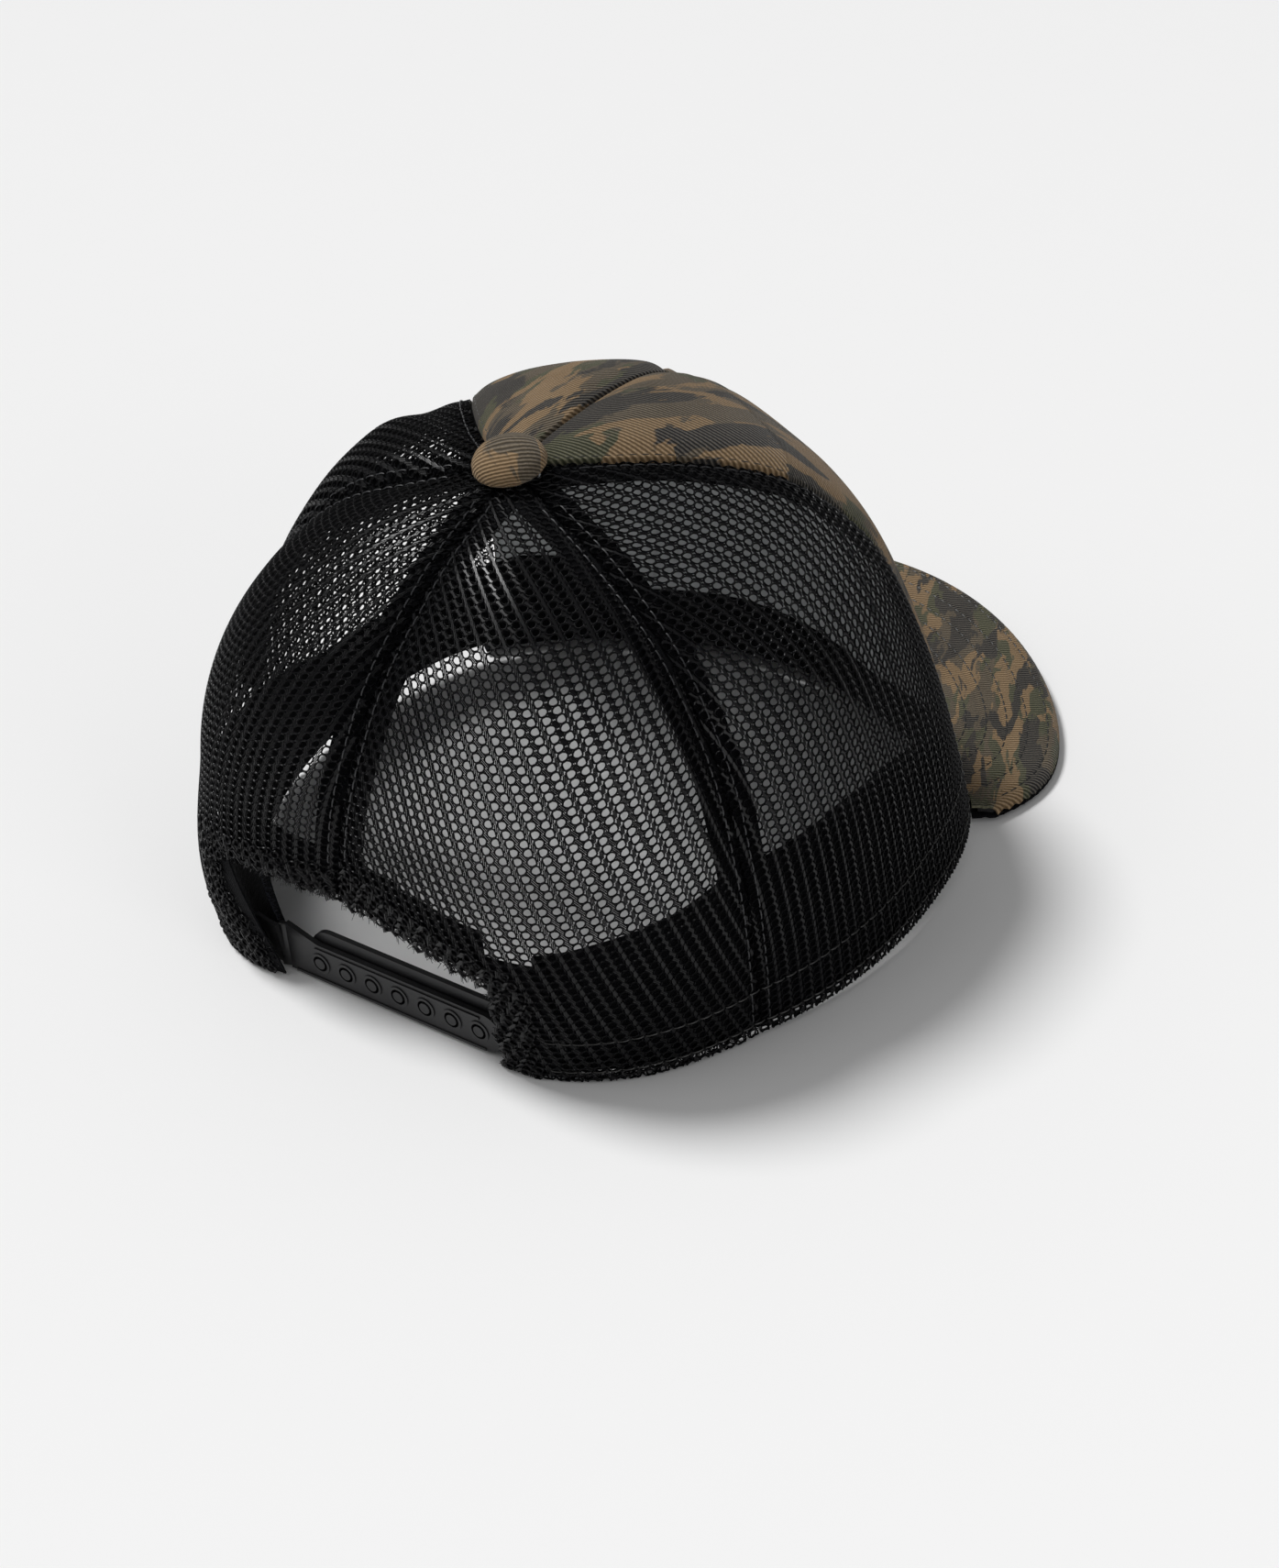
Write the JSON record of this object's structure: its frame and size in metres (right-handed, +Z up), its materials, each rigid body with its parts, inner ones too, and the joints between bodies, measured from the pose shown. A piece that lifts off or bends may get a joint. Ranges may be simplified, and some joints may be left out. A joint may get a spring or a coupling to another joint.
{
  "type": "trucker mesh cap",
  "caption": "Baseball cap with a camouflage twill front, covered button and visor, open black mesh back panels and a moulded snap strap under an arched opening.",
  "frame": {"origin": "centre of the cap's outline on the surface it lies on", "axes": "+Z up; the visor points to -Y; the wearer's right side is -X"},
  "size_m": [0.182, 0.2314, 0.1246],
  "materials": {
    "camo_twill": "brushed cotton twill in tan, brown, olive and slate patches",
    "black_mesh": "open knitted polyester net, slightly shiny",
    "grey_backing": "stiff pressed backing cloth",
    "black_cloth": "matt black woven tape and twill",
    "black_plastic": "satin moulded plastic",
    "visor_board": "plain plastic sheet",
    "button_metal": "plain pressed metal"
  },
  "bodies": {
    "cap": {"front_panel": "camo_twill", "front_side_panel_left": "camo_twill", "front_side_panel_right": "camo_twill", "front_backing": "grey_backing", "front_side_backing_left": "grey_backing", "front_side_backing_right": "grey_backing", "mesh_side_panel_left": "black_mesh", "mesh_side_panel_right": "black_mesh", "mesh_back_panel_left": "black_mesh", "mesh_back_panel_right": "black_mesh", "ridge_seam_tape": "black_cloth", "front_seam_tape_left": "black_cloth", "front_seam_tape_right": "black_cloth", "camo_seam_tape_left": "black_cloth", "camo_seam_tape_right": "black_cloth", "side_seam_tape_left": "black_cloth", "side_seam_tape_right": "black_cloth", "back_seam_tape": "black_cloth", "arch_binding": "black_cloth", "sweatband": "black_cloth", "visor_top_cover": "camo_twill", "visor_board": "visor_board", "visor_under_cover": "black_cloth", "button_cover": "camo_twill", "button_shell": "button_metal", "button_rivet": "button_metal", "strap_outer_anchor": "black_plastic", "strap_inner_anchor": "black_plastic"},
    "outer_tongue": {"strap_outer": "black_plastic"},
    "inner_tongue": {"strap_inner": "black_plastic"}
  },
  "joints": [
    {"name": "outer_tongue_bend", "type": "hinge", "parent": "cap", "child": "outer_tongue", "pos_m": [0.0342, 0.1103, 0.0075], "axis": [0, 0, -1], "range_deg": [0, 75], "stiffness_Nm_per_rad": 0.01},
    {"name": "inner_tongue_bend", "type": "hinge", "parent": "cap", "child": "inner_tongue", "pos_m": [-0.042, 0.1071, 0.008], "axis": [0, 0, -1], "range_deg": [0, 25], "stiffness_Nm_per_rad": 0.01}
  ]
}
